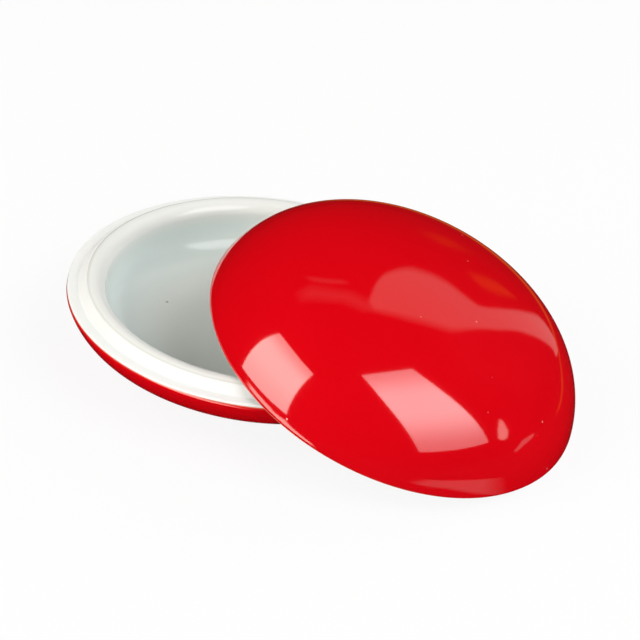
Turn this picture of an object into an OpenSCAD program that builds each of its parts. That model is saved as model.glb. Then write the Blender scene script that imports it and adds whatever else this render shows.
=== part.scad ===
// Lidded ceramic box for seal paste.
// The bowl stands on its foot ring. The lid is off: it leans on the bowl's rim, with its low edge
// on the table. The origin is the centre of the footprint of both, on the table, and +X is the
// way in which the lid leans down.

/* [Bowl] */
// Outer diameter at the seat, over the glaze
bowl_d = 95; // [93:0.5:97]
// Height of the flat seat above the table
seat_h = 17.1; // [16.9:0.1:17.2]
// Radius of the curve at the bowl's side
side_r = 13; // [11:0.1:14]
// Height of that curve's centre above the seat
side_rise = 2.6; // [1:0.1:3]
// Radius of the bowl's underside
belly_r = 106; // [100:1:120]

/* [Lip] */
// Diameter where the lip's outer slope meets the seat
lip_foot_d = 89.2; // [88:0.2:89.6]
// Outer diameter of the lip's top
lip_d = 84.8; // [83:0.2:85]
// Height of the lip above the seat
lip_h = 2.4; // [1.8:0.1:2.4]
// Inner diameter of the lip
well_d = 76; // [72:0.5:77]
// Rounding of the lip's inner edge
lip_round = 3.2; // [2.4:0.1:3.6]

/* [Well] */
// Radius of the curve where the well's wall meets its floor
well_side_r = 9; // [7:0.5:9]
// Radius of the dished floor
well_floor_r = 220; // [180:5:240]

/* [Foot] */
// Outer diameter of the foot ring
foot_d = 57; // [50:1:60]
// Width of the ring on which the bowl stands
foot_w = 3.4; // [2.5:0.1:5]
// Depth of the recess inside the foot ring
foot_recess = 2.2; // [1.5:0.1:2.4]

/* [Lid] */
// Outer diameter at the rim, over the glaze
lid_d = 92.3; // [92:0.1:93]
// Height from the rim to the top of the dome
lid_h = 25; // [23:0.1:28]
// Radius of the dome's shoulder
shoulder_r = 25; // [22:0.5:26]
// Depth of the shoulder's centre below the rim
shoulder_drop = 4.9; // [4:0.1:6]
// Thickness of the lid's wall, without the glaze
lid_wall = 3.8; // [3:0.1:5]
// Diameter at the rim of the cone that fits over the lip's slope
cone_d = 89.8; // [89.6:0.2:90]
// Diameter of that cone at its top
cone_top_d = 85.4; // [85.2:0.2:85.6]
// Depth of that cone
cone_h = 2.6; // [2.5:0.1:3]

/* [Glaze] */
// Thickness of each glaze coat
glaze_t = 0.4; // [0.3:0.05:0.6]
// Bare strip between the bowl's seat and the red glaze
bowl_bare = 0.5; // [0.4:0.1:1.5]
// Bare strip between the lid's rim and the red glaze
lid_bare = 0.5; // [0.5:0.1:1.5]
// Bare strip between the cone inside the lid's rim and the pale glaze
lid_inner_bare = 1; // [0.5:0.1:3]
// Bare strip between the foot ring and the red glaze
foot_bare = 0.8; // [0.5:0.1:2]
// Rounding of the bare outer edges
edge_round = 0.4; // [0.3:0.05:0.5]

/* [Lean of the lid] */
// Tilt of the lid from level
lean_angle = 17.4; // [17.4:0.1:17.6]
// Distance from the bowl's axis to the centre of the lid's rim, seen from above
lean_shift = 33.8; // [33.8:0.1:34.1]

/* [Hidden] */
$fn = 96;
// Longer than any size of the box
far = 200;
// How far a rounding's curve stands past the faces that it joins
rounding_excess = 0.02;
// How far a cutting shape stands out of what it cuts
overlap = 1;

porcelain_white = "#f3f1ea";
glaze_red = "#d4000f";
glaze_pale = "#c3cfc9";

// Profile of the bowl's outside: a side curve that runs on smoothly into the underside
bowl_glaze_top = side_rise + bowl_bare;
side_x = bowl_d / 2 - sqrt(side_r * side_r - bowl_glaze_top * bowl_glaze_top);
side_z = seat_h + side_rise;

// Profile of the lip and the well: the rounding of the lip runs on smoothly into the well's wall
lip_top = seat_h + lip_h;
lip_slope = (lip_foot_d - lip_d) / (2 * lip_h);
lip_round_x = well_d / 2 + lip_round;
lip_round_z = lip_top - lip_round;
well_side_x = well_d / 2 - well_side_r;

// Height to which the foot ring's section runs up into the underside
foot_root = 2 * foot_recess;

// Profile of the lid: a shoulder that runs on smoothly into the crown
lid_glaze_low = shoulder_drop + lid_bare;
shoulder_x = lid_d / 2 - sqrt(shoulder_r * shoulder_r - lid_glaze_low * lid_glaze_low);
crown_rise = lid_h + shoulder_drop;
crown_r = (shoulder_x * shoulder_x + crown_rise * crown_rise - shoulder_r * shoulder_r)
    / (2 * (crown_rise - shoulder_r));

// Centre of the rounding at the seat's outer edge, and the lean of the side there
seat_edge_reach = side_r - glaze_t - edge_round;
seat_edge_turn = asin((side_rise + edge_round) / seat_edge_reach);
seat_edge_x = side_x + seat_edge_reach * cos(seat_edge_turn);

// Centre of the rounding at the lid's rim, and the lean of the side there
rim_edge_reach = shoulder_r - glaze_t - edge_round;
rim_edge_turn = asin((shoulder_drop + edge_round) / rim_edge_reach);
rim_edge_x = shoulder_x + rim_edge_reach * cos(rim_edge_turn);

// Height of the rim's centre when its low edge is on the table
rim_z = rim_edge_x * sin(lean_angle) - edge_round * cos(lean_angle) + edge_round + rounding_excess;

// The footprint runs from the bowl's glaze to the lid's shoulder
lid_reach = lean_shift + shoulder_x * cos(lean_angle) - shoulder_drop * sin(lean_angle) + shoulder_r;
bowl_x = (bowl_d / 2 - lid_reach) / 2;

// Half section of a dome: a small circle at its edge, tangent inside a large one centred on the axis
module dome_section(edge_x, edge_z, edge_r, crown, inset) {
    crown_z = edge_z - sqrt(pow(crown - edge_r, 2) - pow(edge_x, 2));
    turn = atan2(edge_x, edge_z - crown_z);
    intersection() {
        translate([0, crown_z])
            circle(r = crown - inset);
        translate([0, crown_z])
            polygon([[0, 0], [0, 2 * far], [2 * far * tan(turn), 2 * far]]);
    }
    intersection() {
        translate([edge_x, edge_z])
            circle(r = edge_r - inset);
        translate([0, crown_z])
            polygon([[0, 0], [2 * far * tan(turn), 2 * far], [2 * far, 2 * far], [2 * far, 0]]);
    }
}

// The same, opening upwards
module dish_section(edge_x, edge_z, edge_r, crown, inset) {
    translate([0, 2 * edge_z])
        mirror([0, 1])
            dome_section(edge_x, edge_z, edge_r, crown, inset);
}

// Everything between two heights
module band(low, high) {
    translate([0, low])
        square([far, high - low]);
}

// Everything between two radii
module sleeve(inner, outer) {
    translate([inner, -far])
        square([outer - inner, 2 * far]);
}

module bowl_outside(inset) {
    dish_section(side_x, side_z, side_r, belly_r, inset);
}

// The hollow of the well up to the lip's rounding; grow makes it wider all round
module well_hollow(grow) {
    intersection() {
        dish_section(well_side_x, lip_round_z, well_side_r, well_floor_r, -grow);
        band(0, lip_round_z);
    }
}

module lid_outside(inset) {
    dome_section(shoulder_x, -shoulder_drop, shoulder_r, crown_r, inset);
}

// The lip outside its rounding: a slope up from the seat, and a flat top lowered by inset
module lip_section(inset) {
    slope_top = lip_d / 2 + inset * lip_slope;
    polygon([
        [lip_round_x, lip_round_z],
        [lip_foot_d / 2, lip_round_z],
        [lip_foot_d / 2, seat_h],
        [slope_top, lip_top - inset],
        [lip_round_x, lip_top - inset]
    ]);
}

// A quarter of a disc on the lip's inner side
module lip_rounding(inset) {
    intersection() {
        translate([lip_round_x, lip_round_z])
            circle(r = lip_round - inset);
        translate([lip_round_x - lip_round, lip_round_z])
            square([lip_round, lip_round]);
    }
}

// What a rounding of radius r takes off a lower outer corner, where the side leans in by turn.
// Its curve meets both faces at a slight angle, so that no face tapers to nothing.
module corner_waste(r, turn) {
    difference() {
        polygon([[0, 0], [0, -2 * r], [2 * r, -2 * r], [2 * r, 2 * r * tan(turn)]]);
        circle(r = r + rounding_excess);
    }
}

module bowl_body_section() {
    difference() {
        union() {
            intersection() {
                bowl_outside(glaze_t);
                band(0, seat_h);
            }
            lip_section(glaze_t);
            translate([foot_d / 2 - foot_w, 0])
                square([foot_w, foot_root]);
        }
        well_hollow(glaze_t);
        difference() {
            translate([0, lip_round_z])
                square([lip_round_x, 2 * lip_round]);
            lip_rounding(glaze_t);
        }
        translate([0, -overlap])
            square([foot_d / 2 - foot_w, foot_recess + overlap]);
        translate([seat_edge_x, seat_h - edge_round])
            mirror([0, 1])
                corner_waste(edge_round, seat_edge_turn);
    }
}

module bowl_inner_glaze_section() {
    difference() {
        well_hollow(glaze_t);
        well_hollow(0);
    }
    difference() {
        lip_rounding(0);
        lip_rounding(glaze_t);
    }
    intersection() {
        lip_section(0);
        band(lip_top - glaze_t, lip_top);
    }
}

module lid_body_section() {
    difference() {
        intersection() {
            lid_outside(glaze_t);
            band(0, far);
        }
        lid_outside(glaze_t + lid_wall);
        polygon([[0, 0], [cone_d / 2, 0], [cone_top_d / 2, cone_h], [0, cone_h]]);
        translate([rim_edge_x, edge_round])
            corner_waste(edge_round, rim_edge_turn);
    }
}

// Places the lid as it leans on the bowl
module leaning() {
    translate([bowl_x + lean_shift, 0, rim_z])
        rotate([0, lean_angle, 0])
            children();
}

module at_bowl() {
    translate([bowl_x, 0, 0])
        children();
}

module bowl_body() {
    color(porcelain_white)
        at_bowl()
            rotate_extrude()
                bowl_body_section();
}

module bowl_outer_glaze() {
    color(glaze_red)
        at_bowl()
            rotate_extrude()
                intersection() {
                    difference() {
                        bowl_outside(0);
                        bowl_outside(glaze_t);
                    }
                    band(0, seat_h - bowl_bare);
                    sleeve(foot_d / 2 + foot_bare, far);
                }
}

module bowl_inner_glaze() {
    color(glaze_pale)
        at_bowl()
            rotate_extrude()
                bowl_inner_glaze_section();
}

module lid_body() {
    color(porcelain_white)
        leaning()
            rotate_extrude()
                lid_body_section();
}

module lid_outer_glaze() {
    color(glaze_red)
        leaning()
            rotate_extrude()
                intersection() {
                    difference() {
                        lid_outside(0);
                        lid_outside(glaze_t);
                    }
                    band(lid_bare, far);
                }
}

module lid_inner_glaze() {
    color(glaze_pale)
        leaning()
            rotate_extrude()
                intersection() {
                    difference() {
                        lid_outside(glaze_t + lid_wall);
                        lid_outside(2 * glaze_t + lid_wall);
                    }
                    band(cone_h + lid_inner_bare, far);
                }
}

bowl_body();
bowl_outer_glaze();
bowl_inner_glaze();
lid_body();
lid_outer_glaze();
lid_inner_glaze();
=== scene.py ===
"""Looks of a round porcelain box for seal paste: a shallow bowl, and its domed lid leaning on the rim.

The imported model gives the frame. Bowl and lid are thrown again here as fine lathe meshes, each one a
fired body with a glaze coat outside and inside, and get their glaze, ground porcelain and studio.
Lengths are in millimetres until a mesh, lamp or camera is made, and in metres from there on.
"""

import logging
import math
from collections.abc import Sequence
from dataclasses import dataclass
from enum import Enum
from itertools import accumulate

import bpy
from mathutils import Matrix, Vector


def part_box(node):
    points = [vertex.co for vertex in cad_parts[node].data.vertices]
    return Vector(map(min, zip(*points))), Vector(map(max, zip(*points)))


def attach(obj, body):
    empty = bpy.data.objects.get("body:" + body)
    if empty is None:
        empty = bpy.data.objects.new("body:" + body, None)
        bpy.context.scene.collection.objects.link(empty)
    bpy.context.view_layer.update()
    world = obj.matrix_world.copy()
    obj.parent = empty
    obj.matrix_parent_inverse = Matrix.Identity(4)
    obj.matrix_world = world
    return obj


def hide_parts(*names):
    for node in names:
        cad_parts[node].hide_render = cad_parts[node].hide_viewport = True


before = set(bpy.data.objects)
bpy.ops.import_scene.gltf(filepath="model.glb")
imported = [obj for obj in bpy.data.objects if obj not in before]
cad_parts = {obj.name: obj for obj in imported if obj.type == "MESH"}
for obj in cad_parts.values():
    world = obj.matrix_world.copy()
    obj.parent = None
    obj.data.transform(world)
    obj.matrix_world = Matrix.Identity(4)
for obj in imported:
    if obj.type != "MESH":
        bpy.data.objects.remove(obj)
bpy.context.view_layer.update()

log = logging.getLogger("seal_paste_box")

MM = 0.001
TINY = 1e-6
WHITE = (1.0, 1.0, 1.0, 1.0)
EDGE_ATTRIBUTE = "edge_mm"
GLOW_ATTRIBUTE = "glow_share"

# Distance between the points of a rounded corner
CORNER_STEP = 0.06
# Angle between two faces from which the edge between them is drawn sharp
SHARP_ANGLE = math.radians(70.0)
# Middle of the lid, and distance from there of the room that it mirrors
LID_MIDDLE = Vector((20.0, 0.0, 25.0))
ROOM_REACH = 1200.0
# Height over the table of what the glaze mirrors there
TABLE_GAP = 0.5

Point = tuple[float, float]
Spot = tuple[float, float, float]
Tree = bpy.types.NodeTree
Socket = bpy.types.NodeSocket


class Opens(Enum):
    """The way in which a dished form opens, as the sign of its crown's height over its edge."""

    DOWN = 1
    UP = -1


class Side(Enum):
    """The side of a wall that a surface is on."""

    OUTSIDE = 1
    INSIDE = -1


class Easing(Enum):
    """How a share changes between two measures, as Blender names it."""

    STEADY = "LINEAR"
    SMOOTH = "SMOOTHSTEP"


@dataclass(frozen=True)
class Station:
    """A point on a fired body's half section, and the way out of the wall there."""

    x: float  # Distance from the axis
    z: float  # Height
    out_x: float  # Outward part of the wall's normal
    out_z: float  # Upward part of the wall's normal

    @property
    def point(self) -> Point:
        """The point itself."""
        return self.x, self.z

    def raised(self, amount: float) -> Point:
        """Gives the point at this distance above the body."""
        return self.x + amount * self.out_x, self.z + amount * self.out_z


@dataclass(frozen=True)
class Ring:
    """One ring of a lathe mesh."""

    radius: float  # Distance from the axis
    height: float  # Height in the piece's own frame
    edge: float = 0.0  # Distance along the surface from the glaze's nearest edge


def between(one: Point, other: Point, share: float) -> Point:
    """Gives the point at this share of the way from one point to another."""
    return one[0] + (other[0] - one[0]) * share, one[1] + (other[1] - one[1]) * share


def lengths(path: Sequence[Station]) -> list[float]:
    """Gives the length along a path up to each of its stations."""
    steps = [math.dist(one.point, other.point) for one, other in zip(path, path[1:])]
    return [0.0, *accumulate(steps)]


def arc(centre: Point, radius: float, start: float, end: float, side: Side, step: float) -> list[Station]:
    """Samples an arc of a half section.

    Args:
        centre: Centre of the arc.
        radius: Radius of the arc.
        start: First angle in radians, from the outward way towards up.
        end: Last angle.
        side: The side of the wall that the arc bounds.
        step: Longest distance between two stations.

    Returns:
        Stations from the first angle to the last.
    """
    count = max(2, math.ceil(abs(end - start) * radius / step))
    stations = []
    for number in range(count + 1):
        angle = start + (end - start) * number / count
        across, up = math.cos(angle), math.sin(angle)
        x = max(0.0, centre[0] + radius * across)
        stations.append(Station(x, centre[1] + radius * up, across * side.value, up * side.value))
    return stations


def straight(start: Point, end: Point, out: Point, step: float) -> list[Station]:
    """Samples a straight stretch of a half section.

    Args:
        start: First point.
        end: Last point.
        out: Normal of the stretch.
        step: Longest distance between two stations.

    Returns:
        Stations from the first point to the last.
    """
    count = max(1, math.ceil(math.dist(start, end) / step))
    return [Station(*between(start, end, number / count), *out) for number in range(count + 1)]


@dataclass(frozen=True)
class Dome:
    """Outline of a dished form: a small circle at its edge, tangent inside a large one on the axis."""

    edge_x: float  # Distance of the small circle's centre from the axis
    edge_z: float  # Height of that centre
    edge_r: float  # Radius of the small circle
    crown_r: float  # Radius of the large circle
    opens: Opens  # The way in which the form opens
    ease_reach: float  # Length along the outline over which its curvature changes gradually
    # Depth below the drawn surface at which the eased one lies, so that it adds no size
    allowance: float = 0.06

    def outline(
        self, inset: float, start_z: float, side: Side, step: float, end_x: float = 0.0
    ) -> list[Station]:
        """Samples the form's surface from near its edge towards its axis.

        Args:
            inset: Depth of the surface below the outline.
            start_z: Height at which it starts, on the small circle.
            side: The side of the wall that it bounds.
            step: Longest distance between two stations.
            end_x: Distance from the axis at which it ends.

        Returns:
            Stations from the edge inwards.
        """
        flip = self.opens.value
        inset += self.allowance
        crown_drop = math.sqrt((self.crown_r - self.edge_r) ** 2 - self.edge_x**2)
        join = math.atan2(crown_drop, self.edge_x)
        start = math.asin(flip * (start_z - self.edge_z) / (self.edge_r - inset))
        end = math.acos(end_x / (self.crown_r - inset))
        small = arc((self.edge_x, 0.0), self.edge_r - inset, start, join, side, step)
        large = arc((0.0, -crown_drop), self.crown_r - inset, join, end, side, step)
        path = ease(small + large[1:], side, self.ease_reach)
        return [Station(one.x, self.edge_z + flip * one.z, one.out_x, flip * one.out_z) for one in path]

    def edge_rounding(self, inset: float, radius: float, level: float) -> tuple[list[Point], float]:
        """Traces the rounded corner between the form's side and a flat face at its edge.

        Args:
            inset: Depth of the side's surface below the outline.
            radius: Radius of the rounding.
            level: Height of the flat face.

        Returns:
            Points from the flat face to the side, and the height at which they reach the side.
        """
        flip = self.opens.value
        reach = self.edge_r - inset - self.allowance - radius
        rise = flip * (level - self.edge_z) + radius
        turn = math.asin(rise / reach)
        centre = (self.edge_x + reach * math.cos(turn), rise)
        stations = arc(centre, radius, -math.pi / 2, turn, Side.OUTSIDE, CORNER_STEP)
        points = [(one.x, self.edge_z + flip * one.z) for one in stations]
        return points, points[-1][1]


def ease(path: Sequence[Station], side: Side, reach: float) -> list[Station]:
    """Lets the curvature of a half section change gradually, as a turning tool does.

    Args:
        path: Stations of a form that opens down, from its edge inwards.
        side: The side of the wall that it bounds.
        reach: Length along the path over which the direction is averaged, to either side.

    Returns:
        The eased stations, with the same first and last points.
    """
    along = lengths(path)
    angles = [math.atan2(one.out_z * side.value, one.out_x * side.value) for one in path]
    eased = []
    for here in along:
        width = min(reach, here, along[-1] - here) + TINY
        near = [angle for angle, there in zip(angles, along) if abs(there - here) <= width]
        eased.append(sum(near) / len(near))
    spots = [(0.0, 0.0)]
    for before, after, start, end in zip(eased, eased[1:], along, along[1:]):
        middle = (before + after) / 2
        x, z = spots[-1]
        spots.append((x - (end - start) * math.sin(middle), z + (end - start) * math.cos(middle)))
    wide = (path[-1].x - path[0].x) / spots[-1][0]
    tall = (path[-1].z - path[0].z) / spots[-1][1]
    turns = [(side.value * math.cos(angle), side.value * math.sin(angle)) for angle in eased]
    return [Station(path[0].x + wide * x, path[0].z + tall * z, *out) for (x, z), out in zip(spots, turns)]


@dataclass(frozen=True)
class Coat:
    """A glaze coat."""

    thickness: float  # Full thickness
    edge_width: float = 1.0  # Distance over which the coat thins out towards its edge

    def rings(self, body: Sequence[Station], open_end: bool = False) -> list[Ring]:
        """Wraps the coat on a stretch of the body's surface.

        Args:
            body: Stations of the body's surface, which start at the coat's edge.
            open_end: Whether the stretch ends at a second edge, and not on the axis.

        Returns:
            Rings out along the coat's face and back along the body.
        """
        along = lengths(body)
        face = []
        for station, distance in zip(body, along):
            edge = min(distance, along[-1] - distance) if open_end else distance
            share = min(1.0, edge / self.edge_width)
            face.append(Ring(*station.raised(self.thickness * math.sin(share * math.pi / 2)), edge))
        back = [Ring(*one.point, ring.edge) for one, ring in zip(body, face)]
        inner = back[1:-1] if open_end else back[1:]
        return face + inner[::-1]


def soften(points: Sequence[Point], reach: float = 0.15) -> list[Point]:
    """Rounds every corner of a half section, as grinding and firing do.

    Args:
        points: The outline, from the axis to the axis.
        reach: Length along the outline over which a corner is rounded.

    Returns:
        The rounded outline, with few points where it is smooth and many where it turns.
    """
    dense = [points[0]]
    for one, other in zip(points, points[1:]):
        count = max(1, round(math.dist(one, other) / CORNER_STEP))
        dense += [between(one, other, number / count) for number in range(1, count + 1)]
    half = round(reach / CORNER_STEP)
    rounded = []
    for index in range(len(dense)):
        width = min(half, index, len(dense) - 1 - index)
        part = dense[index - width : index + width + 1]
        rounded.append((sum(x for x, _ in part) / len(part), sum(z for _, z in part) / len(part)))
    return thin_out(rounded)


def thin_out(
    points: Sequence[Point], longest: float = 0.8, turn: float = math.radians(6.0)
) -> list[Point]:
    """Drops points of an outline that its shape doesn't need.

    Args:
        points: The outline.
        longest: Longest distance to leave between two points.
        turn: Largest change of direction to leave between two points.

    Returns:
        The outline with the points that are left.
    """
    kept = [points[0]]
    heading = math.atan2(points[1][1] - points[0][1], points[1][0] - points[0][0])
    for before, here in zip(points[1:], points[2:]):
        now = math.atan2(here[1] - before[1], here[0] - before[0])
        bend = abs(math.remainder(now - heading, math.tau))
        if math.dist(kept[-1], here) > longest or bend > turn:
            kept.append(before)
            heading = now
    kept.append(points[-1])
    return kept


@dataclass(frozen=True)
class Wobble:
    """The slight, always inward, error of a form that was thrown and fired."""

    phases: tuple[float, ...]  # Phase of each wave round the axis, from two waves up
    depth: float = 0.05  # Largest inward error

    def at(self, angle: float) -> float:
        """Gives the inward error at an angle round the axis."""
        waves = [math.sin(count * angle + phase) for count, phase in enumerate(self.phases, start=2)]
        return self.depth * (0.5 + 0.5 * sum(waves) / len(waves))


def add_object(name: str, data: bpy.types.ID) -> bpy.types.Object:
    """Puts a mesh, lamp or camera in the scene.

    Args:
        name: Name of the object.
        data: The mesh, lamp or camera.

    Returns:
        The new object.
    """
    thing = bpy.data.objects.new(name, data)
    bpy.context.scene.collection.objects.link(thing)
    return thing


def make_mesh(
    name: str, vertices: Sequence[Vector], faces: Sequence[Sequence[int]], edges: Sequence[float]
) -> bpy.types.Object:
    """Makes a smooth-shaded object with its faces turned outwards.

    Args:
        name: Name of the object.
        vertices: Its points, in metres.
        faces: Its faces.
        edges: Each point's distance from the glaze's edge, in millimetres.

    Returns:
        The new object.
    """
    mesh = bpy.data.meshes.new(name)
    mesh.from_pydata(vertices, [], faces)
    mesh.attributes.new(EDGE_ATTRIBUTE, "FLOAT", "POINT").data.foreach_set("value", edges)
    mesh.update()
    volume = sum(face.center.dot(face.normal) * face.area for face in mesh.polygons)
    if volume < 0.0:
        mesh.flip_normals()
    mesh.shade_smooth()
    mesh.set_sharp_from_angle(angle=SHARP_ANGLE)
    return add_object(name, mesh)


def linear(code: str) -> tuple[float, float, float, float]:
    """Turns an sRGB hex colour into the linear colour that a shader takes.

    Args:
        code: The colour, such as "#c0ffee".

    Returns:
        Red, green, blue and an alpha of 1.
    """
    parts = [int(code[start : start + 2], 16) / 255 for start in (1, 3, 5)]
    red, green, blue = (
        part / 12.92 if part <= 0.04045 else ((part + 0.055) / 1.055) ** 2.4 for part in parts
    )
    return red, green, blue, 1.0


def add_node(
    tree: Tree,
    kind: str,
    values: dict[str | int, object] | None = None,
    links: dict[str | int, Socket] | None = None,
    **settings: object,
) -> bpy.types.Node:
    """Adds one shader node.

    Args:
        tree: The tree that gets the node.
        kind: Blender's name of the node's type, without its prefix ShaderNode.
        values: Input socket to its constant.
        links: Input socket to the output that feeds it.
        settings: Properties of the node.

    Returns:
        The new node.
    """
    node = tree.nodes.new(f"ShaderNode{kind}")
    for key, value in settings.items():
        setattr(node, key, value)
    for key, value in (values or {}).items():
        node.inputs[key].default_value = value
    for key, source in (links or {}).items():
        tree.links.new(source, node.inputs[key])
    return node


# Sockets of the Mix node for colours: first colour, second colour and result
MIX_A, MIX_B, MIX_OUT = 6, 7, 2


def empty_tree(owner: bpy.types.Material | bpy.types.World | bpy.types.Light) -> Tree:
    """Clears the node tree of a material, world or lamp.

    Args:
        owner: The material, world or lamp.

    Returns:
        Its empty tree.
    """
    owner.use_nodes = True
    owner.node_tree.nodes.clear()
    return owner.node_tree


@dataclass(frozen=True)
class Layer:
    """A colour that lies over the ones below it, by a share that changes with some measure."""

    colour: str  # The colour
    start: float  # Measure up to which its share is the first one
    end: float  # Measure from which its share is the last one
    first_share: float = 1.0  # Share of the colour up to the start
    last_share: float = 0.0  # Share of the colour past the end
    easing: Easing = Easing.SMOOTH  # How its share changes in between

    def lay(self, tree: Tree, below: Socket | str, measure: Socket) -> tuple[Socket, Socket]:
        """Lays the colour over what is below it.

        Args:
            tree: The material's tree.
            below: The colour below, or its code where it is the same all over.
            measure: The measure with which the share changes.

        Returns:
            The colour's share, and the colours together.
        """
        ends = {"From Min": self.start, "From Max": self.end}
        shares = {"To Min": self.first_share, "To Max": self.last_share}
        easing = self.easing.value
        ramp = add_node(tree, "MapRange", ends | shares, {"Value": measure}, interpolation_type=easing)
        share = ramp.outputs["Result"]
        values, links = {MIX_B: linear(self.colour)}, {0: share}
        if isinstance(below, str):
            values[MIX_A] = linear(below)
        else:
            links[MIX_A] = below
        together = add_node(tree, "Mix", values, links, data_type="RGBA")
        return share, together.outputs[MIX_OUT]


@dataclass(frozen=True)
class Relief:
    """A fine relief, such as waves or grain."""

    width_mm: float  # Width of one wave or grain
    height_mm: float  # Its height
    detail: float  # How many times finer waves lie on it
    strength: float = 1.0  # Share of the height that shows

    def emboss(self, tree: Tree, spot: Socket) -> Socket:
        """Adds the relief to a material.

        Args:
            tree: The material's tree.
            spot: The place on the object.

        Returns:
            The normal of the relief.
        """
        scale = {"Scale": 1 / (self.width_mm * MM), "Detail": self.detail}
        noise = add_node(tree, "TexNoise", scale, {"Vector": spot})
        size = {"Strength": self.strength, "Distance": self.height_mm * MM}
        bump = add_node(tree, "Bump", size, {"Height": noise.outputs["Fac"]})
        return bump.outputs["Normal"]


@dataclass(frozen=True)
class Finish:
    """What the finishes have in common."""

    name: str  # Name of the material
    ior: float  # Index of refraction
    roughness: float  # Roughness of the surface

    def make(self) -> bpy.types.Material:
        """Builds the material.

        Returns:
            The new material.
        """
        material = bpy.data.materials.new(self.name)
        tree = empty_tree(material)
        spot = add_node(tree, "TexCoord").outputs["Object"]
        colour, normal = self.surface(tree, spot)
        look = {"IOR": self.ior, "Roughness": self.roughness}
        shader = add_node(tree, "BsdfPrincipled", look, {"Base Color": colour, "Normal": normal})
        add_node(tree, "OutputMaterial", links={"Surface": shader.outputs["BSDF"]})
        return material

    def surface(self, tree: Tree, spot: Socket) -> tuple[Socket, Socket]:
        """Builds the finish's own colour and relief.

        Args:
            tree: The material's tree.
            spot: The place on the object.

        Returns:
            The colour and the normal.
        """
        raise NotImplementedError


@dataclass(frozen=True)
class RedEnamelGlaze(Finish):
    """Lead-rich red enamel glaze, poured on and fired until it ran level.

    To the eye it is a deep, even red under a wet gloss. It thins to a brighter orange red where it
    ends on the bare clay, and the surface pulls into very slight, wide waves. A few bubbles burst
    in the kiln and left pinholes, which show as tiny pale specks.
    """

    name: str = "red_enamel_glaze"
    ior: float = 1.85
    roughness: float = 0.06
    deep: str = "#d2000c"  # Colour where the glaze is thickest
    bright: Layer = Layer("#da0212", 0.0, 1.0, 0.0, 1.0, Easing.STEADY)  # Colour of its thinner clouds
    # Colour near its edge, by the distance from there in millimetres
    thin: Layer = Layer("#dc150e", 0.15, 0.6)
    bare: Layer = Layer("#e79d89", 0.0, 0.3)  # Colour of the clay that shows through at the very edge
    # Colour of a pinhole, by the distance from its middle as a share of their spacing
    pit: Layer = Layer("#f3a296", 0.0, 0.05)
    cloud_mm: float = 22.0  # Width of a cloud
    cloud_detail: float = 2.0  # How many times finer clouds lie on it
    waves: Relief = Relief(13.0, 0.05, 0.5)  # The waves of the surface
    pinhole_spacing_mm: float = 7.0  # Distance between the pinholes, most of which lie under the surface
    pinhole_depth_mm: float = 0.03  # Depth of a pinhole
    pinhole_strength: float = 0.6  # Share of the depth that shows

    def surface(self, tree: Tree, spot: Socket) -> tuple[Socket, Socket]:
        """Builds the glaze's colour and relief.

        Args:
            tree: The material's tree.
            spot: The place on the object.

        Returns:
            The colour and the normal.
        """
        edge = add_node(tree, "Attribute", attribute_name=EDGE_ATTRIBUTE).outputs["Fac"]
        clouds = {"Scale": 1 / (self.cloud_mm * MM), "Detail": self.cloud_detail}
        cloud = add_node(tree, "TexNoise", clouds, {"Vector": spot}).outputs["Fac"]
        cells = {"Scale": 1 / (self.pinhole_spacing_mm * MM)}
        away = add_node(tree, "TexVoronoi", cells, {"Vector": spot}).outputs["Distance"]
        colour = self.deep
        layers = (self.bright, cloud), (self.thin, edge), (self.bare, edge), (self.pit, away)
        for layer, measure in layers:
            share, colour = layer.lay(tree, colour, measure)
        size = {"Strength": self.pinhole_strength, "Distance": self.pinhole_depth_mm * MM}
        links = {"Height": share, "Normal": self.waves.emboss(tree, spot)}
        holes = add_node(tree, "Bump", size, links, invert=True)
        return colour, holes.outputs["Normal"]


@dataclass(frozen=True)
class PaleCeladonGlaze(Finish):
    """Clear glaze with a trace of iron, like a very pale celadon, poured into the well.

    To the eye it is white where it is thin on the lip, and grey green and glassy where it lies
    thick on the well's wall and floor, with one small brown iron speck.
    """

    name: str = "pale_celadon_glaze"
    ior: float = 1.5
    roughness: float = 0.05
    lip: str = "#e9ebe7"  # Colour on the lip
    # Colour on the well's wall, by the distance from the glaze's edge in millimetres
    wall: Layer = Layer("#dbe6e3", 4.0, 8.5, 0.0, 1.0)
    floor: Layer = Layer("#dfe3de", 10.0, 26.0, 0.0, 1.0)  # Colour on the well's floor, by the same distance
    # Colour of the darker grey line along the glaze's edge, by the same distance: partly the edge's own
    # grey, partly painted shade where the lip's slope meets the glaze
    edge_line_and_shade: Layer = Layer("#d2d3cb", 0.0, 0.6, 0.7, 0.0, Easing.STEADY)
    # Colour of the iron speck, by the distance from its middle in metres
    speck: Layer = Layer("#5d4a3c", 0.0, 0.5 * MM, 0.9, 0.0, Easing.STEADY)
    speck_at_mm: Spot = (-40.2, -1.7, 6.7)  # Place of the iron speck
    waves: Relief = Relief(9.0, 0.05, 1.0)  # The waves of the surface

    def surface(self, tree: Tree, spot: Socket) -> tuple[Socket, Socket]:
        """Builds the glaze's colour and relief.

        Args:
            tree: The material's tree.
            spot: The place on the object.

        Returns:
            The colour and the normal.
        """
        edge = add_node(tree, "Attribute", attribute_name=EDGE_ATTRIBUTE).outputs["Fac"]
        middle = {1: [part * MM for part in self.speck_at_mm]}
        away = add_node(tree, "VectorMath", middle, {0: spot}, operation="DISTANCE")
        colour = self.lip
        # The last layer is the darker line at the glaze's edge, partly painted shade
        for layer in (self.wall, self.floor, self.edge_line_and_shade):
            colour = layer.lay(tree, colour, edge)[1]
        colour = self.speck.lay(tree, colour, away.outputs["Value"])[1]
        return colour, self.waves.emboss(tree, spot)


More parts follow.
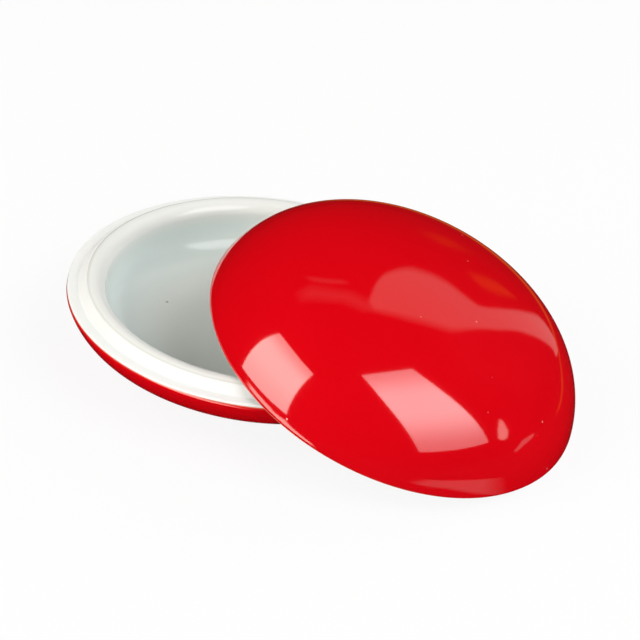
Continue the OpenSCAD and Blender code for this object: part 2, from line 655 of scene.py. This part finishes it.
@dataclass(frozen=True)
class GroundPorcelain(Finish):
    """Fired white porcelain without glaze, ground on the faces where bowl and lid meet.

    To the eye it is a matt, slightly warm white with a very fine grain and faint cool patches.
    """

    name: str = "ground_porcelain"
    ior: float = 1.5
    roughness: float = 0.7
    white: str = "#f1f1ee"  # Colour of the clay
    cool: Layer = Layer("#e8ebea", 0.0, 1.0, 0.0, 1.0, Easing.STEADY)  # Colour of its patches
    patch_mm: float = 9.0  # Width of a patch
    patch_detail: float = 4.0  # How many times finer patches lie on it
    # The grain, coarser than the real one, which is too fine to show
    grain: Relief = Relief(0.5, 0.04, 3.0, 0.5)

    def surface(self, tree: Tree, spot: Socket) -> tuple[Socket, Socket]:
        """Builds the clay's colour and relief.

        Args:
            tree: The material's tree.
            spot: The place on the object.

        Returns:
            The colour and the normal.
        """
        patches = {"Scale": 1 / (self.patch_mm * MM), "Detail": self.patch_detail}
        patch = add_node(tree, "TexNoise", patches, {"Vector": spot}).outputs["Fac"]
        return self.cool.lay(tree, self.white, patch)[1], self.grain.emboss(tree, spot)


@dataclass(frozen=True)
class Finishes:
    """The finished materials of the box."""

    red: bpy.types.Material
    pale: bpy.types.Material
    porcelain: bpy.types.Material


def fit_piece(
    piece: bpy.types.Object, material: bpy.types.Material, body: str, node: str
) -> bpy.types.Object:
    """Dresses a piece and puts it in the frame in place of its CAD node.

    Args:
        piece: The new piece, already in place.
        material: Its finish.
        body: The body on which it rides.
        node: The CAD node for which it stands.

    Returns:
        The same piece.
    """
    piece.data.materials.append(material)
    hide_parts(node)
    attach(piece, body)
    log.info("%s: %d faces, rides on %s", piece.name, len(piece.data.polygons), body)
    return piece


@dataclass(kw_only=True)
class Vessel:
    """What bowl and lid have in common: a fired body with a glaze coat outside and inside."""

    finishes: Finishes  # The materials
    name: str  # Name of the body on which its pieces ride
    hollow: str  # Name of its hollow
    wobble: Wobble  # Error of its form
    segments: int  # Number of steps round its axis
    body_step: float = 0.3  # Longest distance between two stations on its bare surface
    red_step: float  # The same under the red glaze
    pale_step: float = 0.6  # The same under the pale glaze
    edge_round: float = 0.4  # Rounding of its outer edge, on the face where bowl and lid meet
    glaze: Coat  # Its glaze coats

    @property
    def place(self) -> Matrix:
        """Matrix from its own frame, in millimetres, to the part's frame, in metres."""
        raise NotImplementedError

    def sections(self) -> tuple[list[Point], list[Ring], list[Ring]]:
        """Traces its half sections.

        Returns:
            The outline of the fired body, and the rings of the red and the pale coat.
        """
        raise NotImplementedError

    def throw(self, name: str, rings: Sequence[Ring]) -> bpy.types.Object:
        """Makes a mesh of revolution; where no ring is on the axis, the last one joins the first.

        Args:
            name: Name of the piece.
            rings: Its rings, in order along the half section.

        Returns:
            The new object.
        """
        place = self.place
        full = max(ring.radius for ring in rings)
        turns = [math.tau * step / self.segments for step in range(self.segments)]
        errors = [self.wobble.at(turn) for turn in turns]
        vertices, edges, loops = [], [], []
        for ring in rings:
            first = len(vertices)
            if ring.radius < TINY:
                vertices.append(place @ Vector((0.0, 0.0, ring.height)))
                edges.append(ring.edge)
                loops.append([first] * self.segments)
                continue
            for turn, error in zip(turns, errors):
                radius = ring.radius - error * ring.radius / full
                spot = Vector((radius * math.cos(turn), radius * math.sin(turn), ring.height))
                vertices.append(place @ spot)
                edges.append(ring.edge)
            loops.append(list(range(first, first + self.segments)))
        pairs = list(zip(loops, loops[1:]))
        if all(ring.radius >= TINY for ring in rings):
            pairs.append((loops[-1], loops[0]))
        faces = [
            [one[step], one[step - 1], other[step - 1], other[step]]
            for one, other in pairs
            for step in range(self.segments)
        ]
        corners = [list(dict.fromkeys(face)) for face in faces]
        return make_mesh(name, vertices, [face for face in corners if len(face) > 2], edges)

    def build(self) -> list[bpy.types.Object]:
        """Builds the body and its two coats.

        Returns:
            The three pieces.
        """
        outline, red, pale = self.sections()
        body = [Ring(*point) for point in soften(outline)]
        rows = (
            ("porcelain_body", body, self.finishes.porcelain, "bare_porcelain", "body"),
            ("red_glaze", red, self.finishes.red, "red_glaze", "outer_glaze"),
            (f"{self.hollow}_glaze", pale, self.finishes.pale, "pale_glaze", "inner_glaze"),
        )
        pieces = []
        for look, rings, material, slot, node in rows:
            piece = self.throw(f"{self.name}_{look}", rings)
            pieces.append(fit_piece(piece, material, self.name, f"{self.name}_{node}"))
        return pieces


@dataclass(kw_only=True)
class Bowl(Vessel):
    """The bowl: a lipped, shallow dish on a foot ring."""

    name: str = "bowl"
    hollow: str = "well"
    wobble: Wobble = Wobble((0.4, 2.1, 4.0))
    segments: int = 320
    red_step: float = 0.25
    glaze: Coat = Coat(0.4)
    outer_d: float = 95.0  # Outer diameter at the seat, over the glaze
    seat_h: float = 17.1  # Height of the flat seat
    side_r: float = 13.0  # Radius of the curve at the side
    side_rise: float = 2.6  # Height of that curve's centre above the seat
    belly_r: float = 106.0  # Radius of the underside
    lip_foot_d: float = 89.2  # Diameter where the lip's slope meets the seat
    lip_d: float = 84.8  # Outer diameter of the lip's top
    lip_h: float = 2.4  # Height of the lip above the seat
    lip_round: float = 3.2  # Rounding of the lip's inner edge
    well_d: float = 76.0  # Inner diameter of the lip
    well_side_r: float = 9.0  # Radius of the curve between the well's wall and floor
    well_floor_r: float = 220.0  # Radius of the dished floor
    foot_d: float = 57.0  # Outer diameter of the foot ring
    foot_w: float = 3.4  # Width of the foot ring
    foot_recess: float = 2.2  # Depth of the recess inside it
    bare_seat: float = 0.5  # Bare strip between seat and red glaze
    bare_foot: float = 0.8  # Bare strip between foot ring and red glaze
    side_ease: float = 5.0  # Length over which the side's curve runs into the underside's
    well_ease: float = 2.0  # Length over which the curve of the well's wall runs into the floor's
    pale_overlap: float = 0.15  # Distance by which the pale glaze goes past the diameter of the lip's top
    lip_step: float = 0.12  # Longest distance between two stations on the lip's flat top

    @property
    def axis_x(self) -> float:
        """Distance of the bowl's axis from the origin, from the CAD model's own box."""
        low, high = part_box("bowl_inner_glaze")
        return (low.x + high.x) / 2 / MM

    @property
    def place(self) -> Matrix:
        """Matrix that stands the bowl on its own axis, in metres."""
        return Matrix.Scale(MM, 4) @ Matrix.Translation((self.axis_x, 0.0, 0.0))

    @property
    def outside(self) -> Dome:
        """Gives the outline of the outside.

        Returns:
            The outline, over the glaze.
        """
        rise = self.side_rise + self.bare_seat
        edge_x = self.outer_d / 2 - math.sqrt(self.side_r**2 - rise**2)
        edge_z = self.seat_h + self.side_rise
        return Dome(edge_x, edge_z, self.side_r, self.belly_r, Opens.UP, self.side_ease)

    @property
    def well(self) -> Dome:
        """Gives the outline of the well below the lip's rounding.

        Returns:
            The outline, over the glaze.
        """
        low = self.seat_h + self.lip_h - self.lip_round
        edge_x = self.well_d / 2 - self.well_side_r
        return Dome(edge_x, low, self.well_side_r, self.well_floor_r, Opens.UP, self.well_ease)

    def well_stations(self) -> list[Station]:
        """Samples the body's surface under the pale glaze.

        Returns:
            Stations from the lip's outer edge to the axis.
        """
        top = self.seat_h + self.lip_h - self.glaze.thickness
        round_x = self.well_d / 2 + self.lip_round
        round_z = self.seat_h + self.lip_h - self.lip_round
        start = self.lip_d / 2 + self.pale_overlap
        flat = straight((start, top), (round_x, top), (0.0, 1.0), self.lip_step)
        radius = self.lip_round - self.glaze.thickness
        turn = arc((round_x, round_z), radius, math.pi / 2, math.pi, Side.OUTSIDE, self.body_step)
        hollow = self.well.outline(-self.glaze.thickness, round_z, Side.INSIDE, self.pale_step)
        return flat + turn[1:] + hollow[1:]

    def body_points(self) -> list[Point]:
        """Traces the fired body's half section.

        Returns:
            Points from the well's floor round to the foot's recess.
        """
        coat = self.glaze.thickness
        slope = (self.lip_foot_d - self.lip_d) / (2 * self.lip_h)
        rounding, side_top = self.outside.edge_rounding(coat, self.edge_round, self.seat_h)
        side = self.outside.outline(coat, side_top, Side.OUTSIDE, self.body_step, self.foot_d / 2)
        foot_inner = self.foot_d / 2 - self.foot_w
        return [
            *(one.point for one in reversed(self.well_stations())),
            (self.lip_d / 2 + coat * slope, self.seat_h + self.lip_h - coat),
            (self.lip_foot_d / 2, self.seat_h),
            *rounding,
            *(one.point for one in side[1:]),
            (self.foot_d / 2, 0.0),
            (foot_inner, 0.0),
            (foot_inner, self.foot_recess),
            (0.0, self.foot_recess),
        ]

    def sections(self) -> tuple[list[Point], list[Ring], list[Ring]]:
        """Traces the half sections.

        Returns:
            The outline of the fired body, and the rings of the red and the pale coat.
        """
        start, end = self.seat_h - self.bare_seat, self.foot_d / 2 + self.bare_foot
        red = self.outside.outline(self.glaze.thickness, start, Side.OUTSIDE, self.red_step, end)
        pale_coat = self.glaze.rings(self.well_stations())
        return self.body_points(), self.glaze.rings(red, open_end=True), pale_coat


@dataclass(kw_only=True)
class Lid(Vessel):
    """The lid: a low dome that leans on the bowl's lip, with its low edge on the table."""

    bowl_axis_x: float  # Distance of the bowl's axis from the origin
    name: str = "lid"
    hollow: str = "hollow"
    wobble: Wobble = Wobble((1.9, 0.3, 3.1))
    segments: int = 352
    red_step: float = 0.4
    glaze: Coat = Coat(0.4, edge_width=0.6)
    outer_d: float = 92.3  # Outer diameter at the rim, over the glaze
    height: float = 25.0  # Height from the rim to the top
    shoulder_r: float = 25.0  # Radius of the shoulder
    shoulder_drop: float = 4.9  # Depth of the shoulder's centre below the rim
    wall: float = 3.8  # Thickness of the wall without the glaze
    cone_d: float = 89.8  # Diameter at the rim of the cone that fits over the lip's slope
    cone_top_d: float = 85.4  # Diameter of that cone at its top
    cone_h: float = 2.6  # Depth of that cone
    bare_rim: float = 0.5  # Bare strip between rim and red glaze, as drawn
    glaze_low: float = 0.25  # Height of the red glaze's thin edge above the rim
    bare_cone: float = 1.0  # Bare strip between the cone and the pale glaze
    crown_ease: float = 9.0  # Length over which the shoulder's curve runs into the crown's
    lean: float = 17.4  # Tilt of the lid in degrees
    shift: float = 33.8  # Distance between the bowl's axis and the centre of the lid's rim, seen from above

    @property
    def outside(self) -> Dome:
        """Gives the outline of the outside.

        Returns:
            The outline, over the glaze, with its rim at height 0.
        """
        rise = self.shoulder_drop + self.bare_rim
        edge_x = self.outer_d / 2 - math.sqrt(self.shoulder_r**2 - rise**2)
        crown_rise = self.height + self.shoulder_drop
        crown_r = (edge_x**2 + crown_rise**2 - self.shoulder_r**2) / (2 * (crown_rise - self.shoulder_r))
        return Dome(edge_x, -self.shoulder_drop, self.shoulder_r, crown_r, Opens.DOWN, self.crown_ease)

    @property
    def place(self) -> Matrix:
        """Leans the lid on the bowl.

        Returns:
            Matrix from the lid's own frame, in millimetres, to the part's frame, in metres.
        """
        angle = math.radians(self.lean)
        reach = self.shoulder_r - self.glaze.thickness - self.edge_round
        turn = math.asin((self.shoulder_drop + self.edge_round) / reach)
        round_x = self.outside.edge_x + reach * math.cos(turn)
        rim_z = round_x * math.sin(angle) + self.edge_round * (1 - math.cos(angle))
        middle = Vector((self.bowl_axis_x + self.shift, 0.0, rim_z))
        return Matrix.Scale(MM, 4) @ Matrix.Translation(middle) @ Matrix.Rotation(angle, 4, "Y")

    def body_points(self) -> list[Point]:
        """Traces the fired body's half section.

        Returns:
            Points from the top of the hollow round to the crown.
        """
        coat = self.glaze.thickness
        hollow = self.outside.outline(coat + self.wall, self.cone_h, Side.INSIDE, self.body_step)
        rounding, side_low = self.outside.edge_rounding(coat, self.edge_round, 0.0)
        outer = self.outside.outline(coat, side_low, Side.OUTSIDE, self.body_step)
        return [
            *(one.point for one in reversed(hollow)),
            (self.cone_top_d / 2, self.cone_h),
            (self.cone_d / 2, 0.0),
            *rounding,
            *(one.point for one in outer[1:]),
        ]

    def sections(self) -> tuple[list[Point], list[Ring], list[Ring]]:
        """Traces the half sections.

        Returns:
            The outline of the fired body, and the rings of the red and the pale coat.
        """
        coat = self.glaze.thickness
        red = self.outside.outline(coat, self.glaze_low, Side.OUTSIDE, self.red_step)
        pale_start = self.cone_h + self.bare_cone
        pale = self.outside.outline(coat + self.wall, pale_start, Side.INSIDE, self.pale_step)
        return self.body_points(), self.glaze.rings(red), self.glaze.rings(pale)


@dataclass(frozen=True)
class Softbox:
    """A rectangular lamp behind white cloth."""

    name: str  # Name of the lamp
    centre: Spot  # Its centre, in millimetres
    across: Spot  # Direction of its width
    up: Spot  # Direction of its height
    width: float  # Its width, in millimetres
    height: float  # Its height, in millimetres
    strength: float  # Brightness of its cloth, where 1 is white
    low_share: float = 1.0  # Share of that brightness at its low edge
    high_share: float = 1.0  # Share of that brightness at its high edge
    colour: str = "#ffffff"  # Colour of its light
    mirrored: bool = True  # Whether the glaze mirrors it, which a very wide, even lamp doesn't show
    low_part: float = 0.45  # Share of its height over which the low edge's brightness runs out
    high_part: float = 0.6  # Share of its height above which the high edge's brightness starts

    def hang(self) -> bpy.types.Object:
        """Makes the lamp.

        Returns:
            The new lamp.
        """
        lamp = bpy.data.lights.new(self.name, "AREA")
        lamp.shape = "RECTANGLE"
        lamp.size = self.width * MM
        lamp.size_y = self.height * MM
        lamp.energy = self.strength * math.pi * lamp.size * lamp.size_y
        lamp.color = linear(self.colour)[:3]
        self.shade(empty_tree(lamp))
        across = Vector(self.across).normalized()
        up = Vector(self.up)
        up = (up - up.dot(across) * across).normalized()
        back = across.cross(up)
        if back.dot(Vector(self.centre)) < 0:
            across, back = -across, -back
        turn = Matrix((across, up, back)).transposed().to_4x4()
        holder = add_object(self.name, lamp)
        holder.matrix_world = Matrix.Translation(Vector(self.centre) * MM) @ turn
        holder.visible_camera = False
        holder.visible_glossy = self.mirrored
        return holder

    def shade(self, tree: Tree) -> None:
        """Makes the cloth brighter at its middle than at its low and high edges.

        Args:
            tree: The lamp's empty tree.
        """
        place = add_node(tree, "NewGeometry").outputs["Parametric"]
        height = add_node(tree, "SeparateXYZ", links={"Vector": place}).outputs["Y"]
        low = {"From Max": self.low_part, "To Min": self.low_share}
        high = {"From Min": self.high_part, "To Min": 1.0, "To Max": self.high_share}
        smooth = Easing.SMOOTH.value
        shares = [
            add_node(tree, "MapRange", ends, {"Value": height}, interpolation_type=smooth)
            for ends in (low, high)
        ]
        links = {number: share.outputs["Result"] for number, share in enumerate(shares)}
        both = add_node(tree, "Math", links=links, operation="MULTIPLY")
        glow = add_node(tree, "Emission", links={"Strength": both.outputs["Value"]})
        add_node(tree, "OutputLight", links={"Surface": glow.outputs["Emission"]})


@dataclass(frozen=True)
class Reflection:
    """A stretch of the room that only the glaze sees, such as a pale wall behind the table."""

    name: str  # Name of the stretch
    one_side: Sequence[Vector]  # Points along its one side, in millimetres
    other_side: Sequence[Vector]  # As many points along its other side
    strength: float  # Its brightness, where 1 is white
    colour: str = "#ffffff"  # Its colour
    side_fade: float = 0.15  # Share of its width over which it fades out at each side
    end_fade: float = 0.4  # Share of its first and last part over which it fades out at each end

    def hang(self) -> bpy.types.Object:
        """Makes the stretch.

        Returns:
            The new card.
        """
        sides = []
        for side in (self.one_side, self.other_side):
            begin = side[0].lerp(side[1], self.end_fade)
            finish = side[-1].lerp(side[-2], self.end_fade)
            sides.append([side[0], begin, *side[1:-1], finish, side[-1]])
        rows = list(zip(*sides))
        across = ((0.0, 0.0), (self.side_fade, 1.0), (1.0 - self.side_fade, 1.0), (1.0, 0.0))
        spots, shares = [], []
        for number, (one, other) in enumerate(rows):
            inner = 0 < number < len(rows) - 1
            for place, share in across:
                spots.append(one.lerp(other, place) * MM)
                shares.append(share if inner else 0.0)
        width = len(across)
        faces = [
            (corner, corner + 1, corner + 1 + width, corner + width)
            for row in range(len(rows) - 1)
            for corner in range(row * width, row * width + width - 1)
        ]
        mesh = bpy.data.meshes.new(self.name)
        mesh.from_pydata(spots, [], faces)
        mesh.attributes.new(GLOW_ATTRIBUTE, "FLOAT", "POINT").data.foreach_set("value", shares)
        mesh.materials.append(self.glow())
        card = add_object(self.name, mesh)
        for ray in ("camera", "diffuse", "transmission", "volume_scatter", "shadow"):
            setattr(card, f"visible_{ray}", False)
        return card

    def glow(self) -> bpy.types.Material:
        """Builds the material of the stretch, which is clear at its edges.

        Returns:
            The new material.
        """
        material = bpy.data.materials.new(self.name)
        tree = empty_tree(material)
        share = add_node(tree, "Attribute", attribute_name=GLOW_ATTRIBUTE).outputs["Fac"]
        clear = add_node(tree, "BsdfTransparent").outputs["BSDF"]
        look = {"Color": linear(self.colour), "Strength": self.strength}
        shine = add_node(tree, "Emission", look).outputs["Emission"]
        mixed = add_node(tree, "MixShader", links={0: share, 1: clear, 2: shine})
        add_node(tree, "OutputMaterial", links={"Surface": mixed.outputs["Shader"]})
        return material


def from_lid(*directions: Point) -> list[Vector]:
    """Places points in the room by the directions in which the lid sees them.

    Args:
        directions: Pairs of an azimuth from +Y towards +X and an elevation, in degrees.

    Returns:
        The points, in millimetres.
    """
    points = []
    for azimuth, elevation in directions:
        turn, rise = math.radians(azimuth), math.radians(elevation)
        way = Vector((math.sin(turn) * math.cos(rise), math.cos(turn) * math.cos(rise), math.sin(rise)))
        points.append(LID_MIDDLE + ROOM_REACH * way)
    return points


def on_table(*places: Point) -> list[Vector]:
    """Places points just above the table.

    Args:
        places: Pairs of X and Y, in millimetres.

    Returns:
        The points, in millimetres.
    """
    return [Vector((x, y, TABLE_GAP)) for x, y in places]


@dataclass(frozen=True)
class Viewpoint:
    """The camera's place: the photographer stands over the bowl, turned towards the lid."""

    aim: Spot = (-9.97, 22.98, 0.0)  # Point of the table, in millimetres, at the middle of the picture
    azimuth: float = 21.742  # Turn of the view in degrees, where 0 looks along +Y and 90 along -X
    elevation: float = 31.994  # Height of the view above the horizon, in degrees
    roll: float = 7.471  # Turn of the picture about its middle, in degrees
    distance: float = 642.0  # Distance from the aim to the camera, in millimetres
    lens: float = 146.25  # Focal length, in millimetres
    sensor: float = 36.0  # Width of the sensor, in millimetres

    def place(self) -> bpy.types.Object:
        """Makes the camera, and makes it the scene's own.

        Returns:
            The new camera.
        """
        data = bpy.data.cameras.new("camera")
        data.lens = self.lens
        data.sensor_width = self.sensor
        turn, rise = math.radians(self.azimuth), math.radians(self.elevation)
        level_x, level_y = math.sin(turn) * math.cos(rise), -math.cos(turn) * math.cos(rise)
        back = Vector((level_x, level_y, math.sin(rise)))
        level = (-back).to_track_quat("-Z", "Y").to_matrix().to_4x4()
        spot = Matrix.Translation((Vector(self.aim) + back * self.distance) * MM)
        camera = add_object("camera", data)
        camera.matrix_world = spot @ level @ Matrix.Rotation(math.radians(self.roll), 4, "Z")
        bpy.context.scene.camera = camera
        return camera


# Lamps: a big softbox to either side, and two fills that the glaze doesn't show
SOFTBOXES = (
    Softbox(
        "left_softbox", (-401.0, -489.0, 453.0), (0.803, -0.591, -0.075), (0.171, 0.181, 0.968),
        width=478.0, height=728.0, strength=4.9, low_share=0.78, high_share=0.55, colour="#fffaf3",
    ),
    Softbox(
        "right_softbox", (490.0, -111.0, 578.0), (0.45, 0.893, 0.033), (-0.333, 0.113, 0.936),
        width=484.0, height=878.0, strength=4.0, low_share=0.35, high_share=0.5,
    ),
    Softbox(
        "back_fill", (500.0, 980.0, 640.0), (0.89, -0.454, 0.0), (-0.235, -0.46, 0.856),
        width=1000.0, height=900.0, strength=2.0, mirrored=False,
    ),
    Softbox(
        "under_fill", (-15.3, 0.0, -300.0), (1.0, 0.0, 0.0), (0.0, 1.0, 0.0),
        width=400.0, height=400.0, strength=1.6, mirrored=False,
    ),
)

# Colours of the mirrored room: wall, sunlit surfaces, lamps and the edge of the table, window
WALL, SUNLIT, LAMPLIT, WINDOW = "#fff2ec", "#ffeadd", "#ff9a3c", "#fff0e6"

# The room and table as the red glaze mirrors them
REFLECTIONS = (
    Reflection(
        "wall",
        from_lid(
            (-2, 67), (6, 69), (15, 67), (25, 62), (31, 55), (33, 49), (31, 43),
            (28.5, 37), (26, 29), (22.5, 19), (20.5, 10), (19, 2), (18, -8),
        ),
        from_lid(
            (-6, 57), (-6, 48), (-4, 42), (-2, 38), (2, 35), (7, 33), (12, 32),
            (16.5, 30), (16.5, 26), (15, 19), (12, 9), (9.5, 1), (9, -8),
        ),
        0.54, WALL,
    ),
    Reflection(
        "wall_foot",
        on_table((460, 1300), (250, 600), (171, 374), (122, 250), (92, 172)),
        on_table((240, 1300), (122, 560), (90, 300), (79, 195), (82, 172)),
        0.54, WALL,
    ),
    Reflection(
        "wall_lit",
        from_lid((-126, 3.5), (-138, 2), (-149, 0)),
        from_lid((-126, -1.2), (-138, -1.2), (-149, -1.2)),
        4.0, SUNLIT,
    ),
    Reflection(
        "lamp_glow_left",
        from_lid((-11, 15), (-10, 5)),
        from_lid((-3, 20), (-2, 5)),
        0.14, LAMPLIT, side_fade=0.4,
    ),
    Reflection(
        "lamp_glow_right",
        from_lid((3, 21), (4, 13), (7, 8)),
        from_lid((10, 25), (12, 18), (9.5, 8)),
        0.3, LAMPLIT, side_fade=0.4,
    ),
    Reflection(
        "ceiling",
        from_lid((-75, 66), (-20, 71), (14, 71)),
        from_lid((-60, 56), (-14, 62), (12, 63)),
        0.16, side_fade=0.45,
    ),
    Reflection(
        "ceiling_edge",
        from_lid((-46, 56), (-30, 58.5), (-17, 58)),
        from_lid((-46, 60), (-30, 62), (-17, 61)),
        0.16, side_fade=0.4,
    ),
    Reflection(
        "small_window",
        from_lid((70, 23.5), (76.5, 17.5), (79.5, 12), (77.5, 8)),
        from_lid((69, 22.5), (70, 17), (71, 12.5), (74.5, 8)),
        1.9, WINDOW,
    ),
    Reflection(
        "far_window",
        (Vector((162, 14, 5)), Vector((157, 31, 16)), Vector((150, 53, 11))),
        (Vector((162, 16, 1.5)), Vector((158, 31, 4)), Vector((152, 50, 6.5))),
        0.55, side_fade=0.2, end_fade=0.2,
    ),
    Reflection(
        "lit_table",
        on_table((16, -66), (4, -72), (-12, -82), (-40, -98), (-90, -125), (-200, -170), (-900, -600)),
        on_table(
            (8, -133), (-15, -178), (-33, -223), (-90, -330), (-144, -433), (-420, -1000), (-900, -2000),
        ),
        4.0, SUNLIT, side_fade=0.08,
    ),
    Reflection(
        "table_front",
        on_table((57, -20), (61, -40), (58, -60)),
        on_table((75, -18), (80, -40), (76, -62)),
        0.4,
    ),
    Reflection(
        "table_edge",
        on_table(
            (-60, 84), (-30, 94), (9, 98), (20, 98), (31, 100), (46, 110), (61, 126),
            (76, 138), (92, 144), (95, 128), (93, 100), (95, 80), (94, 60),
        ),
        on_table(
            (-75, 170), (-35, 188), (9, 186), (20, 178), (31, 172), (48, 172), (66, 182),
            (86, 196), (114, 190), (120, 150), (114, 106), (117, 84), (115, 62),
        ),
        0.42, LAMPLIT, side_fade=0.3,
    ),
)


@dataclass
class Studio:
    """Floor, lamps, surroundings and camera."""

    floor_r: float = 3600.0  # Radius of the floor, in millimetres
    floor_level: float = -0.05  # Its height, a hair below the box, so that no faces coincide
    # Radius of its hole, which the foot ring covers; light from beneath comes in there, so that a
    # view through the floor shows the foot's recess
    floor_hole_r: float = 28.0
    floor_steps: int = 96  # Number of steps round the floor
    floor_grey: float = 0.82  # Its brightness under the lamps
    floor_glow: float = 0.9  # Share of plain white in what the camera sees of it
    floor_mirrored: float = 0.01  # Its brightness where the glaze mirrors it
    ambient: float = 0.28  # Brightness of the surroundings, as far as they light the object
    ambient_mirrored: float = 0.01  # Their brightness where the glaze mirrors them

    def build(self) -> None:
        """Builds the whole studio."""
        Viewpoint().place()
        for thing in (*SOFTBOXES, *REFLECTIONS):
            thing.hang()
        self.lay_floor()
        self.fill_world()
        bpy.context.scene.view_settings.view_transform = "Standard"
        log.info("studio: %d softboxes, %d reflections", len(SOFTBOXES), len(REFLECTIONS))

    def lay_floor(self) -> bpy.types.Object:
        """Lays the pale floor, which is clear from beneath.

        Returns:
            The floor.
        """
        low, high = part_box("bowl_body")
        middle = Vector(((low.x + high.x) / 2, 0.0, self.floor_level * MM))
        spots, faces = [], []
        for step in range(self.floor_steps):
            turn = math.tau * step / self.floor_steps
            way = Vector((math.cos(turn), math.sin(turn), 0.0)) * MM
            spots += [middle + self.floor_hole_r * way, middle + self.floor_r * way]
            before = (2 * step - 2) % (2 * self.floor_steps)
            faces.append((before, before + 1, 2 * step + 1, 2 * step))
        mesh = bpy.data.meshes.new("floor")
        mesh.from_pydata(spots, [], faces)
        mesh.materials.append(self.white_table())
        floor = add_object("floor", mesh)
        return floor

    def white_table(self) -> bpy.types.Material:
        """Builds the floor's material: white to the camera, matt to the lamps, dark to the glaze.

        Returns:
            The new material.
        """
        material = bpy.data.materials.new("white_table")
        tree = empty_tree(material)
        rays = add_node(tree, "LightPath").outputs
        matt, dark = (
            add_node(tree, "BsdfDiffuse", {"Color": (grey, grey, grey, 1.0)}).outputs["BSDF"]
            for grey in (self.floor_grey, self.floor_mirrored)
        )
        glow = add_node(tree, "Emission", {"Color": WHITE}).outputs["Emission"]
        clear = add_node(tree, "BsdfTransparent").outputs["BSDF"]
        seen = {0: rays["Is Camera Ray"]}
        glowing = add_node(tree, "Math", {1: self.floor_glow}, seen, operation="MULTIPLY")
        beneath = add_node(tree, "NewGeometry").outputs["Backfacing"]
        covers = (rays["Is Glossy Ray"], dark), (glowing.outputs["Value"], glow), (beneath, clear)
        sheet = matt
        for share, cover in covers:
            links = {0: share, 1: sheet, 2: cover}
            sheet = add_node(tree, "MixShader", links=links).outputs["Shader"]
        add_node(tree, "OutputMaterial", links={"Surface": sheet})
        return material

    def fill_world(self) -> None:
        """Makes the surroundings: white behind the object, dim light on it."""
        world = bpy.data.worlds.new("room")
        bpy.context.scene.world = world
        tree = empty_tree(world)
        rays = add_node(tree, "LightPath").outputs
        room, mirrored, white = (
            add_node(tree, "Background", {"Color": WHITE, "Strength": strength}).outputs[0]
            for strength in (self.ambient, self.ambient_mirrored, 1.0)
        )
        for ray, other in (("Is Glossy Ray", mirrored), ("Is Camera Ray", white)):
            links = {0: rays[ray], 1: room, 2: other}
            room = add_node(tree, "MixShader", links=links).outputs["Shader"]
        add_node(tree, "OutputWorld", links={"Surface": room})


def main() -> None:
    """Builds the studio, the bowl and the lid."""
    logging.basicConfig(level=logging.INFO, format="%(name)s: %(message)s")
    Studio().build()
    finishes = Finishes(RedEnamelGlaze().make(), PaleCeladonGlaze().make(), GroundPorcelain().make())
    bowl = Bowl(finishes=finishes)
    pieces = bowl.build() + Lid(finishes=finishes, bowl_axis_x=bowl.axis_x).build()
    log.info("%d pieces", len(pieces))


if __name__ == "__main__":
    main()
